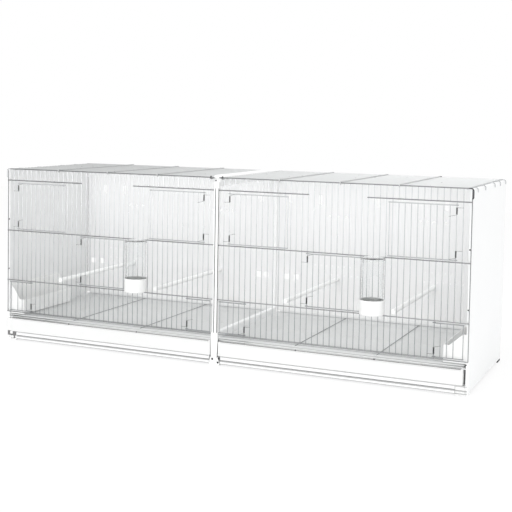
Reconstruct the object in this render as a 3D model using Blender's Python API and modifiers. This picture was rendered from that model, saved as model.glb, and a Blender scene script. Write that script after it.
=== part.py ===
import math

import bmesh
import bpy
from mathutils import Vector

# A double bird breeding cage: two wire-fronted cabins side by side, each with its own
# tray, floor grate, doors, perches and drinker. X runs along the front, Y runs from the
# front to the back and Z runs up from the floor. All lengths are in metres.

# Overall sizes
cage_length = 1.200
panel_thickness = 0.006
panel_front_lead = 0.0013
panel_rear = 0.400
post_width = 0.012
post_depth = 0.012
post_proud = 0.002
fit_gap = 0.0003
cut_overrun = 0.010
weld_distance = 0.00001

# Heights above the floor
panel_bottom_z = 0.006
post_bottom_z = 0.008
tray_bottom_z = 0.022
tray_top_z = 0.058
grate_top_z = 0.0686
sill_rod_z = 0.0750
top_rod_z = 0.4487

# Drops below the centre of the top rod
roof_drop = 0.0011
post_cap_drop = 0.0127
lintel_drop = 0.0296

# Heights of the middle rods, as shares of the way from the sill rod to the lintel rod
feeder_rod_share = 0.2421
cabin_rod_share = 0.6196

# Wire work: every grid is a flat lattice of square wires and slightly wider rods
wire_width = 0.0018
rod_width = 0.0025
lattice_thickness = 0.0020
rod_tip_inset = 0.0008
left_gap_count = 43
right_gap_count = 42

# Gaps from the end of a cabin to the wires that the doors hang on and close at
feeder_hinge_count = 5
nest_hinge_count = 2
nest_latch_count = 12
nest_edge_share = 0.5
lintel_end_count = 16
centre_hinge_count = 16
centre_latch_count = 25
centre_edge_share = 0.2
feeder_edge_share = 0.5

# Doors hang just in front of the grid and turn about one of its wires
door_lead = 0.0026
door_overhang = 0.0012
nest_door_top_drop = 0.0075
door_rod_clearance = 0.0045

# Door springs: a coil round the hinge wire with one leg on the next wire
spring_wire_radius = 0.0005
spring_coil_radius = 0.0024
spring_length = 0.0150
spring_end_clearance = 0.0040
spring_leg = 0.0190
spring_curls = 4
spring_points_per_curl = 8

# Roof grid
roof_gap_count = 27
roof_cross_rods = 3
cross_rod_depth = 0.0025
cross_rod_bite = 0.0010
cross_rod_inset = 0.0003
roof_panel_rest = 0.0050

# End panel, with the two runners that carry the tray and the grate
panel_round = 0.0050
panel_round_steps = 4
runner_reach = 0.009
tray_runner_thickness = 0.0020
grate_runner_thickness = 0.0015
rear_notch_depth = 0.012
rear_notch_top_z = 0.075
rear_notch_slope = 0.008
panel_band_low_z = 0.007
panel_band_high_z = 0.023
panel_band_front = 0.036
panel_band_rear = 0.377
panel_band_depth = 0.0008

# Centre frame
centre_web = 0.004
frame_rail_height = 0.019
frame_top_rail = 0.019

# Back
back_thickness = 0.002
back_front = 0.388
back_rail_height_z = 0.071
back_rail_bottom_z = 0.010
back_tray_ledge = 0.020
back_grate_ledge = 0.010
slot_width = 0.009
slot_height = 0.024
vent_radius = 0.0030
vent_points = 8
square_side = 0.014
slot_drop = 0.0727
vent_drop = 0.1147
square_rise = 0.0940

# Tray and grate
tray_side_clearance = 0.005
tray_wall = 0.0012
tray_front = 0.0000
tray_rear = 0.3700
tray_corner = 0.006
tray_corner_segments = 3
grate_front = 0.0020
grate_rear = 0.3850
grate_side_clearance = 0.0040
grate_border = 0.0030
grate_wall = 0.0020
grate_gap_count = 27
grate_bars = 2
grate_bar_width = 0.0030
grate_sink = 0.0005

# Perch
perch_radius = 0.0055
perch_cap_radius = 0.0080
perch_cap_length = 0.004
perch_rise = 0.0097
perch_steps = 12

# Drinker: a cup hooked over a rod, and a clear tube that stands in it
cup_radius = 0.027
cup_wall = 0.0015
cup_drop = 0.0033
cup_height = 0.038
drinker_lead = 0.030
tube_radius = 0.025
tube_wall = 0.0015
tube_rise = 0.0018
tube_cap_radius = 0.0265
tube_cap_height = 0.006
arch_width = 0.026
arch_bottom_rise = 0.002
arch_drop = 0.043
arch_points = 8
hook_width = 0.007
hook_thickness = 0.0025
hook_drop = 0.009
turned_steps = 20

# Seed trough at the outer end of each cabin
trough_width = 0.050
trough_length = 0.225
trough_front = 0.006
trough_wall = 0.002
trough_low_z = 0.107
trough_high_z = 0.133
trough_step = 0.013

# Base rails and feet
rail_depth = 0.012
rail_bottom_z = 0.003
rail_groove_low_z = 0.010
rail_groove_high_z = 0.0135
rail_groove_depth = 0.004
foot_length = 0.028
foot_depth = 0.030
foot_top_z = 0.0194
centre_foot_half = 0.014
centre_foot_shoulder = 0.010

# Sizes that follow from those above
section_width = (cage_length - 2 * panel_thickness - post_width) / 2
drinker_front = drinker_lead + cup_radius
grid_y = (drinker_front - panel_rear) / 2
half_lattice = lattice_thickness / 2
half_wire = wire_width / 2
half_rod = rod_width / 2
panel_inner_x = cage_length / 2 - panel_thickness
lintel_rod_z = top_rod_z - lintel_drop
feeder_rod_z = sill_rod_z + feeder_rod_share * (lintel_rod_z - sill_rod_z)
cabin_rod_z = sill_rod_z + cabin_rod_share * (lintel_rod_z - sill_rod_z)
perch_z = feeder_rod_z + perch_rise
cup_bottom_z = feeder_rod_z - cup_drop
tube_top_z = cabin_rod_z + tube_rise
arch_top_z = tube_top_z - arch_drop
post_cap_z = top_rod_z - post_cap_drop
roof_bottom_z = top_rod_z - roof_drop
panel_top_z = roof_bottom_z - fit_gap
slot_z = top_rod_z - slot_drop
vent_z = top_rod_z - vent_drop
square_z = back_rail_height_z + square_rise
tray_runner_top_z = tray_bottom_z - fit_gap
grate_runner_bottom_z = tray_top_z + fit_gap
grate_bottom_z = grate_runner_bottom_z + grate_runner_thickness + fit_gap

# Wire positions of the fittings, counted in gaps from each cabin's left end
sections = (
    {
        "name": "left",
        "x": -post_width / 2 - section_width,
        "gaps": left_gap_count,
        "outer_side": -1,
        "perch_wires": (11.4, 31.4),
        "drinker_wire": 28.8,
        "hook_wire": 28.5,
        "trough_shoulder": 0.018,
        "slot_shares": (0.10, 0.207, 0.937),
        "vent_shares": (0.238, 0.277, 0.313, 0.689, 0.731, 0.762, 0.789),
        "square_shares": (0.034, 0.087, 0.927, 0.966),
    },
    {
        "name": "right",
        "x": post_width / 2,
        "gaps": right_gap_count,
        "outer_side": 1,
        "perch_wires": (12.1, 30.4),
        "drinker_wire": 27.6,
        "hook_wire": 27.5,
        "trough_shoulder": 0.008,
        "slot_shares": (0.056, 0.202, 0.473, 0.770),
        "vent_shares": (0.247, 0.286, 0.323, 0.656, 0.687, 0.716, 0.769),
        "square_shares": (0.046, 0.092),
    },
)

# Turns that lay a flat outline upright, and the least angle of a sharp edge
smooth_angle = math.radians(40)
facing_front = (math.pi / 2, 0, 0)
facing_side = (math.pi / 2, 0, math.pi / 2)
lying_flat = (0, 0, 0)

for old_object in list(bpy.data.objects):
    bpy.data.objects.remove(old_object, do_unlink=True)

cage = bpy.data.collections.new("bird_breeding_cage")
bpy.context.scene.collection.children.link(cage)
cutters = bpy.data.collections.new("cutters")
bpy.context.scene.collection.children.link(cutters)


def make_material(name, color, roughness, metallic, alpha=1.0):
    material = bpy.data.materials.new(name)
    material.use_nodes = True
    shader = material.node_tree.nodes["Principled BSDF"]
    shader.inputs["Base Color"].default_value = (*color, 1.0)
    shader.inputs["Roughness"].default_value = roughness
    shader.inputs["Metallic"].default_value = metallic
    shader.inputs["Alpha"].default_value = alpha
    material.diffuse_color = (*color, alpha)
    return material


panel_plastic = make_material("panel_plastic", (0.86, 0.87, 0.87), 0.45, 0.0)
chrome_wire = make_material("chrome_wire", (0.62, 0.64, 0.65), 0.28, 1.0)
grey_wire = make_material("grey_wire", (0.40, 0.42, 0.43), 0.45, 1.0)
spring_steel = make_material("spring_steel", (0.05, 0.05, 0.055), 0.40, 1.0)
white_plastic = make_material("white_plastic", (0.88, 0.88, 0.87), 0.35, 0.0)
clear_plastic = make_material("clear_plastic", (0.80, 0.86, 0.88), 0.10, 0.0, 0.45)
dark_plastic = make_material("dark_plastic", (0.06, 0.06, 0.065), 0.50, 0.0)


def add_object(name, data, material, location=(0, 0, 0), rotation=lying_flat, parent=None):
    added = bpy.data.objects.new(name, data)
    cage.objects.link(added)
    added.location = location
    added.rotation_euler = rotation
    added.parent = parent
    if material:
        data.materials.append(material)
    return added


def add_empty(name, location):
    return add_object(name, None, None, location)


# A flat outline with holes, as thick as asked and centred on its own plane
def flat_outline(name, loops, thickness, material, location=(0, 0, 0), rotation=lying_flat, parent=None):
    curve = bpy.data.curves.new(name, "CURVE")
    curve.dimensions = "2D"
    curve.fill_mode = "BOTH"
    curve.extrude = thickness / 2
    for loop in loops:
        spline = curve.splines.new("POLY")
        spline.points.add(len(loop) - 1)
        for point, (across, up) in zip(spline.points, loop):
            point.co = (across, up, 0, 1)
        spline.use_cyclic_u = True
    return add_object(name, curve, material, location, rotation, parent)


def rectangle(low_x, high_x, low_y, high_y):
    return [(low_x, low_y), (high_x, low_y), (high_x, high_y), (low_x, high_y)]


def disc(centre_x, centre_y, radius, count):
    turns = [2 * math.pi * step / count for step in range(count)]
    return [(centre_x + radius * math.cos(turn), centre_y + radius * math.sin(turn)) for turn in turns]


# The same object as a closed mesh, so that it can be cut or joined
def as_mesh(source):
    bpy.context.view_layer.update()
    evaluated = source.evaluated_get(bpy.context.evaluated_depsgraph_get())
    mesh = bpy.data.meshes.new_from_object(evaluated)
    work = bmesh.new()
    work.from_mesh(mesh)
    bmesh.ops.remove_doubles(work, verts=work.verts, dist=weld_distance)
    bmesh.ops.recalc_face_normals(work, faces=work.faces)
    work.to_mesh(mesh)
    work.free()
    name = source.name
    solid = bpy.data.objects.new(name, mesh)
    cage.objects.link(solid)
    solid.matrix_world = source.matrix_world.copy()
    bpy.data.objects.remove(source, do_unlink=True)
    solid.name = name
    mesh.name = name
    return solid


def box(name, low, high, material, location=(0, 0, 0)):
    low, high = Vector(low), Vector(high)
    mesh = bpy.data.meshes.new(name)
    work = bmesh.new()
    bmesh.ops.create_cube(work, size=1)
    bmesh.ops.scale(work, vec=high - low, verts=work.verts)
    bmesh.ops.translate(work, vec=(low + high) / 2, verts=work.verts)
    work.to_mesh(mesh)
    work.free()
    return add_object(name, mesh, material, location)


# Joins the tool to the body, or cuts it out, and leaves one plain mesh
def combine(body, tool, operation):
    cage.objects.unlink(tool)
    cutters.objects.link(tool)
    tool.hide_render = True
    tool.display_type = "WIRE"
    step = body.modifiers.new(operation.lower(), "BOOLEAN")
    step.operation = operation
    step.solver = "EXACT"
    step.object = tool
    bpy.context.view_layer.update()
    evaluated = body.evaluated_get(bpy.context.evaluated_depsgraph_get())
    mesh = bpy.data.meshes.new_from_object(evaluated)
    body.modifiers.remove(step)
    body.data = mesh
    bpy.data.objects.remove(tool, do_unlink=True)
    return body


# A profile of (radius, height) turned about the object's own Z
def turned(name, profile, steps, material, location=(0, 0, 0), rotation=lying_flat):
    mesh = bpy.data.meshes.new(name)
    verts = [(radius, 0, height) for radius, height in profile]
    edges = [(index, index + 1) for index in range(len(profile) - 1)]
    mesh.from_pydata(verts, edges, [])
    solid = add_object(name, mesh, material, location, rotation)
    screw = solid.modifiers.new("turn", "SCREW")
    screw.steps = steps
    screw.render_steps = steps
    screw.use_merge_vertices = True
    screw.merge_threshold = weld_distance
    solid = as_mesh(solid)
    solid.data.shade_smooth()
    solid.data.set_sharp_from_angle(angle=smooth_angle)
    return solid


def wire_x(section, count):
    return section["x"] + count * section_width / section["gaps"]


# The front of one cabin: upright wires between cross rods, with holes left for the doors
def front_grid(section):
    gaps = section["gaps"]
    pitch = section_width / gaps
    rods = [sill_rod_z, feeder_rod_z, cabin_rod_z, lintel_rod_z, top_rod_z]
    outer_tip = panel_thickness - rod_tip_inset
    left_tip = -outer_tip if section["outer_side"] < 0 else fit_gap
    right_tip = section_width + (outer_tip if section["outer_side"] > 0 else -fit_gap)

    def edge(tip, first_columns, side):
        points = []
        for level, height in enumerate(rods):
            if level:
                below = first_columns[level - 1] * pitch + side * half_wire
                points.append((below, height - half_rod))
            points.append((tip, height - half_rod))
            points.append((tip, height + half_rod))
            if level < len(rods) - 1:
                above = first_columns[level] * pitch + side * half_wire
                points.append((above, height + half_rod))
        return points

    left_columns = [feeder_hinge_count, 1, 1, 1]
    right_columns = [gaps - column for column in left_columns]
    outline = edge(left_tip, left_columns, -1) + edge(right_tip, right_columns, 1)[::-1]

    def hole(first, last, low_z, high_z):
        return rectangle(
            first * pitch + half_wire,
            last * pitch - half_wire,
            low_z + half_rod,
            high_z - half_rod,
        )

    nest_spans = ((nest_hinge_count, nest_latch_count), (gaps - nest_latch_count, gaps - nest_hinge_count))
    loops = [outline]
    loops.append(hole(centre_hinge_count, centre_latch_count, feeder_rod_z, cabin_rod_z))
    for first, last in nest_spans:
        loops.append(hole(first, last, cabin_rod_z, lintel_rod_z))
    for column in range(feeder_hinge_count, gaps - feeder_hinge_count):
        loops.append(hole(column, column + 1, sill_rod_z, feeder_rod_z))
    for column in range(1, gaps - 1):
        if not centre_hinge_count <= column < centre_latch_count:
            loops.append(hole(column, column + 1, feeder_rod_z, cabin_rod_z))
        if lintel_end_count <= column < gaps - lintel_end_count:
            loops.append(hole(column, column + 1, cabin_rod_z, top_rod_z))
            continue
        loops.append(hole(column, column + 1, lintel_rod_z, top_rod_z))
        if not any(first <= column < last for first, last in nest_spans):
            loops.append(hole(column, column + 1, cabin_rod_z, lintel_rod_z))
    name = section["name"] + "_front_grid"
    place = (section["x"], grid_y, 0)
    flat_outline(name, loops, lattice_thickness, chrome_wire, place, facing_front)


# A wire door on a parent empty that stands on the hinge wire. Side is +1 where the door
# reaches to the right of its hinge.
def wire_door(name, section, hinge_wire, wire_count, edge_share, side, low_z, high_z):
    pitch = section_width / section["gaps"]
    hinge = add_empty(name + "_hinge", (wire_x(section, hinge_wire), grid_y, low_z))
    rise = high_z - low_z
    columns = [count * pitch for count in range(1, wire_count)]
    columns.append((wire_count + edge_share) * pitch)
    first = columns[0] - half_wire
    last = columns[-1] + half_wire
    outline = [
        (-door_overhang, -half_rod),
        (last, -half_rod),
        (last, rise + half_rod),
        (-door_overhang, rise + half_rod),
        (-door_overhang, rise - half_rod),
        (first, rise - half_rod),
        (first, half_rod),
        (-door_overhang, half_rod),
    ]
    loops = [outline]
    for near, far in zip(columns, columns[1:]):
        loops.append(rectangle(near + half_wire, far - half_wire, half_rod, rise - half_rod))
    loops = [[(side * across, up) for across, up in loop] for loop in loops]
    flat_outline(name, loops, lattice_thickness, chrome_wire, (0, -door_lead, 0), facing_front, hinge)


# A coil round the hinge wire. Its leg runs away from the door over the next wire, and
# leaves the coil at the end that the coil winds from, its foot or its head.
def door_spring(name, section, hinge_wire, side, foot_z, head_z):
    points = [(-side * spring_leg, -half_lattice - fit_gap - spring_wire_radius, 0)]
    count = spring_curls * spring_points_per_curl
    for step in range(count + 1):
        turn = 2 * math.pi * step / spring_points_per_curl - math.pi / 2
        across = side * spring_coil_radius * math.cos(turn)
        depth = spring_coil_radius * math.sin(turn)
        points.append((across, depth, (head_z - foot_z) * step / count))
    curve = bpy.data.curves.new(name, "CURVE")
    curve.dimensions = "3D"
    curve.bevel_depth = spring_wire_radius
    curve.bevel_resolution = 1
    curve.use_fill_caps = True
    spline = curve.splines.new("POLY")
    spline.points.add(len(points) - 1)
    for point, place in zip(spline.points, points):
        point.co = (*place, 1)
    add_object(name, curve, spring_steel, (wire_x(section, hinge_wire), grid_y, foot_z))
    return points


# Least gap between one turn of a spring and the next, from its own points
def spring_turn_gap(points):
    coil = [Vector(point) for point in points[1:]]
    ahead = range(spring_points_per_curl - 1, spring_points_per_curl + 2)
    spans = [
        (coil[index] - coil[index + jump]).length
        for index in range(len(coil))
        for jump in ahead
        if index + jump < len(coil)
    ]
    return min(spans) - 2 * spring_wire_radius


# Doors and springs of one cabin
def cabin_doors(section):
    gaps = section["gaps"]
    cabin = section["name"]
    nest_low = cabin_rod_z + door_rod_clearance
    nest_high = lintel_rod_z - nest_door_top_drop
    nest_count = nest_latch_count - nest_hinge_count
    centre_low = feeder_rod_z + door_rod_clearance
    centre_high = cabin_rod_z - door_rod_clearance
    feeder_low = sill_rod_z + door_rod_clearance
    feeder_high = feeder_rod_z - door_rod_clearance
    centre_count = centre_latch_count - centre_hinge_count
    feeder_count = feeder_hinge_count - 1
    nest_size = (nest_count, nest_edge_share, nest_low, nest_high)
    centre_size = (centre_count, centre_edge_share, centre_low, centre_high)
    feeder_size = (feeder_count, feeder_edge_share, feeder_low, feeder_high)
    doors = (
        ("nest_door_1", nest_hinge_count, 1, nest_size),
        ("nest_door_2", gaps - nest_hinge_count, -1, nest_size),
        ("centre_door", centre_hinge_count, 1, centre_size),
        ("feeder_door_1", feeder_hinge_count, -1, feeder_size),
        ("feeder_door_2", gaps - feeder_hinge_count, 1, feeder_size),
    )
    points = []
    for door, hinge_wire, side, (wires, share, low, high) in doors:
        name = f"{cabin}_{door}"
        wire_door(name, section, hinge_wire, wires, share, side, low, high)
        end = half_rod + spring_end_clearance
        foot = low + end + spring_length
        points = door_spring(name + "_lower_spring", section, hinge_wire, side, foot, low + end)
        if "feeder" not in door:
            foot = high - end - spring_length
            door_spring(name + "_upper_spring", section, hinge_wire, side, foot, high - end)
    return points


# The roof of one cabin: lengthwise wires between two end rods, over three cross rods
# that are joined to the front and back wires only
def roof_grid(section):
    outward = section["outer_side"]
    reach = section_width + post_width / 2 + roof_panel_rest - fit_gap
    near_y = grid_y + half_lattice + fit_gap
    far_y = grid_y + back_front - fit_gap
    depth = far_y - near_y
    pitch = (depth - wire_width) / roof_gap_count
    loops = [rectangle(0, outward * reach, 0, depth)]
    for row in range(roof_gap_count):
        low = row * pitch + wire_width
        high = low + pitch - wire_width
        loops.append(rectangle(outward * rod_width, outward * (reach - rod_width), low, high))
    name = section["name"] + "_roof_grid"
    place = (outward * fit_gap, near_y, roof_bottom_z + half_lattice)
    roof = as_mesh(flat_outline(name, loops, lattice_thickness, chrome_wire, place))
    top = roof_bottom_z - fit_gap
    bite = roof_bottom_z + cross_rod_bite
    front = near_y + cross_rod_inset
    rear = far_y - cross_rod_inset
    outline = [
        (front, top - cross_rod_depth),
        (rear, top - cross_rod_depth),
        (rear, bite),
        (far_y - wire_width, bite),
        (far_y - wire_width, top),
        (near_y + wire_width, top),
        (near_y + wire_width, bite),
        (front, bite),
    ]
    for rod in range(1, roof_cross_rods + 1):
        middle = section["x"] + section_width * rod / (roof_cross_rods + 1)
        cross = flat_outline("cross_rod", [outline], rod_width, chrome_wire, (middle, 0, 0), facing_side)
        combine(roof, as_mesh(cross), "UNION")


# End wall with rounded outer top edge, two runners, a shallow band and a rear notch
def end_panel(name, outward):
    inner = panel_inner_x
    outer = cage_length / 2
    centre_x = outer - panel_round
    centre_z = panel_top_z - panel_round
    outline = [(inner, panel_bottom_z)]
    outline += [(inner, tray_runner_top_z - tray_runner_thickness)]
    outline += [(inner - runner_reach, tray_runner_top_z - tray_runner_thickness)]
    outline += [(inner - runner_reach, tray_runner_top_z), (inner, tray_runner_top_z)]
    outline += [(inner, grate_runner_bottom_z), (inner - runner_reach, grate_runner_bottom_z)]
    outline += [(inner - runner_reach, grate_runner_bottom_z + grate_runner_thickness)]
    outline += [(inner, grate_runner_bottom_z + grate_runner_thickness), (inner, panel_top_z)]
    for step in range(panel_round_steps + 1):
        turn = math.pi / 2 * (1 - step / panel_round_steps)
        outline.append((centre_x + panel_round * math.cos(turn), centre_z + panel_round * math.sin(turn)))
    outline.append((outer, panel_bottom_z))
    outline = [(outward * across, up) for across, up in outline]
    depth = panel_rear - panel_front_lead
    place = (0, grid_y + panel_front_lead + depth / 2, 0)
    panel = as_mesh(flat_outline(name, [outline], depth, panel_plastic, place, facing_front))
    notch_front = panel_rear - rear_notch_depth
    notch = [
        (notch_front, panel_bottom_z - cut_overrun),
        (panel_rear + cut_overrun, panel_bottom_z - cut_overrun),
        (panel_rear + cut_overrun, rear_notch_top_z + rear_notch_slope),
        (panel_rear, rear_notch_top_z + rear_notch_slope),
        (notch_front, rear_notch_top_z),
    ]
    width = panel_thickness + runner_reach + 2 * cut_overrun
    middle = outward * (outer - (panel_thickness + runner_reach) / 2)
    notch_place = (middle, grid_y, 0)
    cutter = as_mesh(flat_outline("rear_notch", [notch], width, None, notch_place, facing_side))
    combine(panel, cutter, "DIFFERENCE")
    low = (outward * (outer - panel_band_depth), grid_y + panel_band_front, panel_band_low_z)
    high = (outward * (outer + cut_overrun), grid_y + panel_band_rear, panel_band_high_z)
    low_x, high_x = sorted((low[0], high[0]))
    band = box("panel_band", (low_x, low[1], low[2]), (high_x, high[1], high[2]), None)
    combine(panel, band, "DIFFERENCE")


# Rail between the two trays, which the centre frame stands on
def centre_base_rail():
    flange = post_width / 2 + runner_reach
    web = centre_web / 2
    top = grate_runner_bottom_z + grate_runner_thickness
    outline = [
        (-flange, tray_runner_top_z - tray_runner_thickness),
        (flange, tray_runner_top_z - tray_runner_thickness),
        (flange, tray_runner_top_z),
        (web, tray_runner_top_z),
        (web, grate_runner_bottom_z),
        (flange, grate_runner_bottom_z),
        (flange, top),
        (-flange, top),
        (-flange, grate_runner_bottom_z),
        (-web, grate_runner_bottom_z),
        (-web, tray_runner_top_z),
        (-flange, tray_runner_top_z),
    ]
    front = rail_depth + fit_gap
    rear = back_front - fit_gap - post_depth - fit_gap
    place = (0, grid_y + (front + rear) / 2, 0)
    flat_outline("centre_base_rail", [outline], rear - front, panel_plastic, place, facing_front)


# Open frame between the cabins, with a front and a back post
def centre_frame():
    front = -post_proud
    rear = back_front - fit_gap
    rail_bottom = grate_bottom_z
    outline = [
        (front, post_bottom_z),
        (front + post_depth, post_bottom_z),
        (front + post_depth, rail_bottom),
        (rear - post_depth, rail_bottom),
        (rear - post_depth, post_bottom_z),
        (rear, post_bottom_z),
        (rear, panel_top_z),
        (front + post_depth, panel_top_z),
        (front + post_depth, post_cap_z),
        (front, post_cap_z),
    ]
    opening = rectangle(
        front + post_depth,
        rear - post_depth,
        rail_bottom + frame_rail_height,
        panel_top_z - frame_top_rail,
    )
    place = (0, grid_y, 0)
    flat_outline("centre_frame", [outline, opening], post_width, panel_plastic, place, facing_side)


def back_panel(section):
    low_z = back_rail_height_z + fit_gap
    loops = [rectangle(fit_gap, section_width - fit_gap, low_z, panel_top_z)]
    for share in section["slot_shares"]:
        middle = share * section_width
        half = slot_width / 2
        low = slot_z - slot_height / 2
        loops.append(rectangle(middle - half, middle + half, low, low + slot_height))
    for share in section["vent_shares"]:
        loops.append(disc(share * section_width, vent_z, vent_radius, vent_points))
    for share in section["square_shares"]:
        middle = share * section_width
        half = square_side / 2
        loops.append(rectangle(middle - half, middle + half, square_z - half, square_z + half))
    place = (section["x"], grid_y + back_front + back_thickness / 2, 0)
    flat_outline(section["name"] + "_back_panel", loops, back_thickness, panel_plastic, place, facing_front)


# Rail below the back panel, with ledges for the back of the tray and of the grate
def back_base_rail(section):
    front = back_front
    rear = back_front + back_thickness
    grate_top = grate_runner_bottom_z + grate_runner_thickness
    outline = [
        (rear, back_rail_bottom_z),
        (rear, back_rail_height_z),
        (front, back_rail_height_z),
        (front, grate_top),
        (front - back_grate_ledge, grate_top),
        (front - back_grate_ledge, grate_runner_bottom_z),
        (front, grate_runner_bottom_z),
        (front, tray_runner_top_z),
        (front - back_tray_ledge, tray_runner_top_z),
        (front - back_tray_ledge, tray_runner_top_z - tray_runner_thickness),
        (front, tray_runner_top_z - tray_runner_thickness),
        (front, back_rail_bottom_z),
    ]
    inset = runner_reach + fit_gap
    length = section_width - 2 * inset
    place = (section["x"] + section_width / 2, grid_y, 0)
    flat_outline(section["name"] + "_back_base_rail", [outline], length, panel_plastic, place, facing_side)


# Grooved rail across the front, between the corner foot and the centre foot
def front_base_rail(section):
    front = tray_front
    rear = tray_front + rail_depth
    top = tray_runner_top_z
    outline = [
        (front, rail_bottom_z),
        (rear, rail_bottom_z),
        (rear, top),
        (front, top),
        (front, rail_groove_high_z),
        (front + rail_groove_depth, rail_groove_high_z),
        (front + rail_groove_depth, rail_groove_low_z),
        (front, rail_groove_low_z),
    ]
    inner_end = centre_foot_half + fit_gap
    outer_end = cage_length / 2 - foot_length - fit_gap
    middle = section["outer_side"] * (inner_end + outer_end) / 2
    place = (middle, grid_y, 0)
    name = section["name"] + "_front_base_rail"
    flat_outline(name, [outline], outer_end - inner_end, panel_plastic, place, facing_side)


def corner_foot(name, outward, front):
    outer = cage_length / 2
    inner = outer - foot_length
    step = panel_inner_x - fit_gap
    outline = [
        (outer, 0),
        (outer, panel_bottom_z - fit_gap),
        (step, panel_bottom_z - fit_gap),
        (step, foot_top_z),
        (inner, foot_top_z),
        (inner, 0),
    ]
    outline = [(outward * across, up) for across, up in outline]
    place = (0, grid_y + front + foot_depth / 2, 0)
    flat_outline(name, [outline], foot_depth, dark_plastic, place, facing_front)


def centre_foot(name, front):
    slot = post_width / 2 + fit_gap
    floor = post_bottom_z - fit_gap
    outline = [
        (-centre_foot_half, 0),
        (centre_foot_half, 0),
        (centre_foot_shoulder, foot_top_z),
        (slot, foot_top_z),
        (slot, floor),
        (-slot, floor),
        (-slot, foot_top_z),
        (-centre_foot_shoulder, foot_top_z),
    ]
    place = (0, grid_y + front + foot_depth / 2, 0)
    flat_outline(name, [outline], foot_depth, dark_plastic, place, facing_front)


def tray(section):
    width = section_width - 2 * tray_side_clearance
    depth = tray_rear - tray_front
    height = tray_top_z - tray_bottom_z
    name = section["name"] + "_tray"
    mesh = bpy.data.meshes.new(name)
    work = bmesh.new()
    bmesh.ops.create_cube(work, size=1)
    bmesh.ops.scale(work, vec=(width, depth, height), verts=work.verts)
    bmesh.ops.translate(work, vec=(0, depth / 2, height / 2), verts=work.verts)
    uprights = [edge for edge in work.edges if abs(edge.verts[0].co.z - edge.verts[1].co.z) > height / 2]
    bmesh.ops.bevel(
        work,
        geom=uprights,
        offset=tray_corner,
        segments=tray_corner_segments,
        profile=0.5,
        affect="EDGES",
    )
    lids = [face for face in work.faces if face.calc_center_median().z > height - weld_distance]
    bmesh.ops.delete(work, geom=lids, context="FACES_ONLY")
    work.to_mesh(mesh)
    work.free()
    place = (section["x"] + section_width / 2, grid_y + tray_front, tray_bottom_z)
    shell = add_object(name, mesh, white_plastic, place)
    wall = shell.modifiers.new("wall", "SOLIDIFY")
    wall.thickness = tray_wall
    wall.offset = -1
    wall.use_even_offset = True


# Floor grate: lengthwise wires in a border, over a lower rim and two bars
def grate(section):
    width = section_width - 2 * grate_side_clearance
    depth = grate_rear - grate_front
    pitch = (depth - 2 * grate_border + wire_width) / grate_gap_count
    loops = [rectangle(-width / 2, width / 2, 0, depth)]
    inner = width / 2 - grate_border
    for row in range(grate_gap_count):
        low = grate_border + row * pitch
        loops.append(rectangle(-inner, inner, low, low + pitch - wire_width))
    name = section["name"] + "_grate"
    middle = section["x"] + section_width / 2
    place = (middle, grid_y + grate_front, grate_top_z - half_lattice)
    lattice = as_mesh(flat_outline(name, loops, lattice_thickness, grey_wire, place))
    rim_inset = (grate_border - grate_wall) / 2
    rim_width = width / 2 - rim_inset
    rim = [
        rectangle(-rim_width, rim_width, rim_inset, depth - rim_inset),
        rectangle(
            -rim_width + grate_wall,
            rim_width - grate_wall,
            rim_inset + grate_wall,
            depth - rim_inset - grate_wall,
        ),
    ]
    wires_bottom = grate_top_z - lattice_thickness
    rim_top = wires_bottom + grate_sink
    rim_place = (middle, grid_y + grate_front, (grate_bottom_z + rim_top) / 2)
    frame = as_mesh(flat_outline("grate_rim", rim, rim_top - grate_bottom_z, None, rim_place))
    for bar in range(1, grate_bars + 1):
        across = middle - width / 2 + width * bar / (grate_bars + 1)
        low = (
            across - grate_bar_width / 2,
            grid_y + grate_front + rim_inset + grate_sink,
            grate_bottom_z + grate_sink,
        )
        high = (
            across + grate_bar_width / 2,
            grid_y + grate_rear - rim_inset - grate_sink,
            wires_bottom - fit_gap,
        )
        combine(frame, box("grate_bar", low, high, None), "UNION")
    combine(lattice, frame, "UNION")


def perch(section, number, wire):
    front = half_lattice + fit_gap
    length = back_front - fit_gap - front
    profile = [
        (0, length),
        (perch_cap_radius, length),
        (perch_cap_radius, length - perch_cap_length),
        (perch_radius, length - perch_cap_length),
        (perch_radius, perch_cap_length),
        (perch_cap_radius, perch_cap_length),
        (perch_cap_radius, 0),
        (0, 0),
    ]
    name = f"{section['name']}_perch_{number}"
    place = (wire_x(section, wire), grid_y + front, perch_z)
    turned(name, profile, perch_steps, white_plastic, place, (-math.pi / 2, 0, 0))


# Cup with a flat hook at its back that drops behind the rod
def drinker_cup(section):
    profile = [
        (0, cup_wall),
        (cup_radius - cup_wall, cup_wall),
        (cup_radius - cup_wall, cup_height),
        (cup_radius, cup_height),
        (cup_radius, 0),
        (0, 0),
    ]
    name = section["name"] + "_drinker_cup"
    centre_x = wire_x(section, section["drinker_wire"])
    centre_y = grid_y - drinker_lead
    cup = turned(name, profile, turned_steps, white_plastic, (centre_x, centre_y, cup_bottom_z))
    hook_x = wire_x(section, section["hook_wire"])
    rest = feeder_rod_z + half_rod + fit_gap
    rear = half_lattice + fit_gap + hook_thickness
    root = -drinker_lead + cup_radius - cup_wall / 2
    offset = hook_x - centre_x
    root -= cup_radius - math.sqrt(cup_radius**2 - (abs(offset) + hook_width / 2) ** 2)
    outline = [
        (root, rest),
        (rear - hook_thickness, rest),
        (rear - hook_thickness, rest - hook_drop),
        (rear, rest - hook_drop),
        (rear, rest + hook_thickness),
        (root, rest + hook_thickness),
    ]
    hook = flat_outline("cup_hook", [outline], hook_width, None, (hook_x, grid_y, 0), facing_side)
    combine(cup, as_mesh(hook), "UNION")


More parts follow.
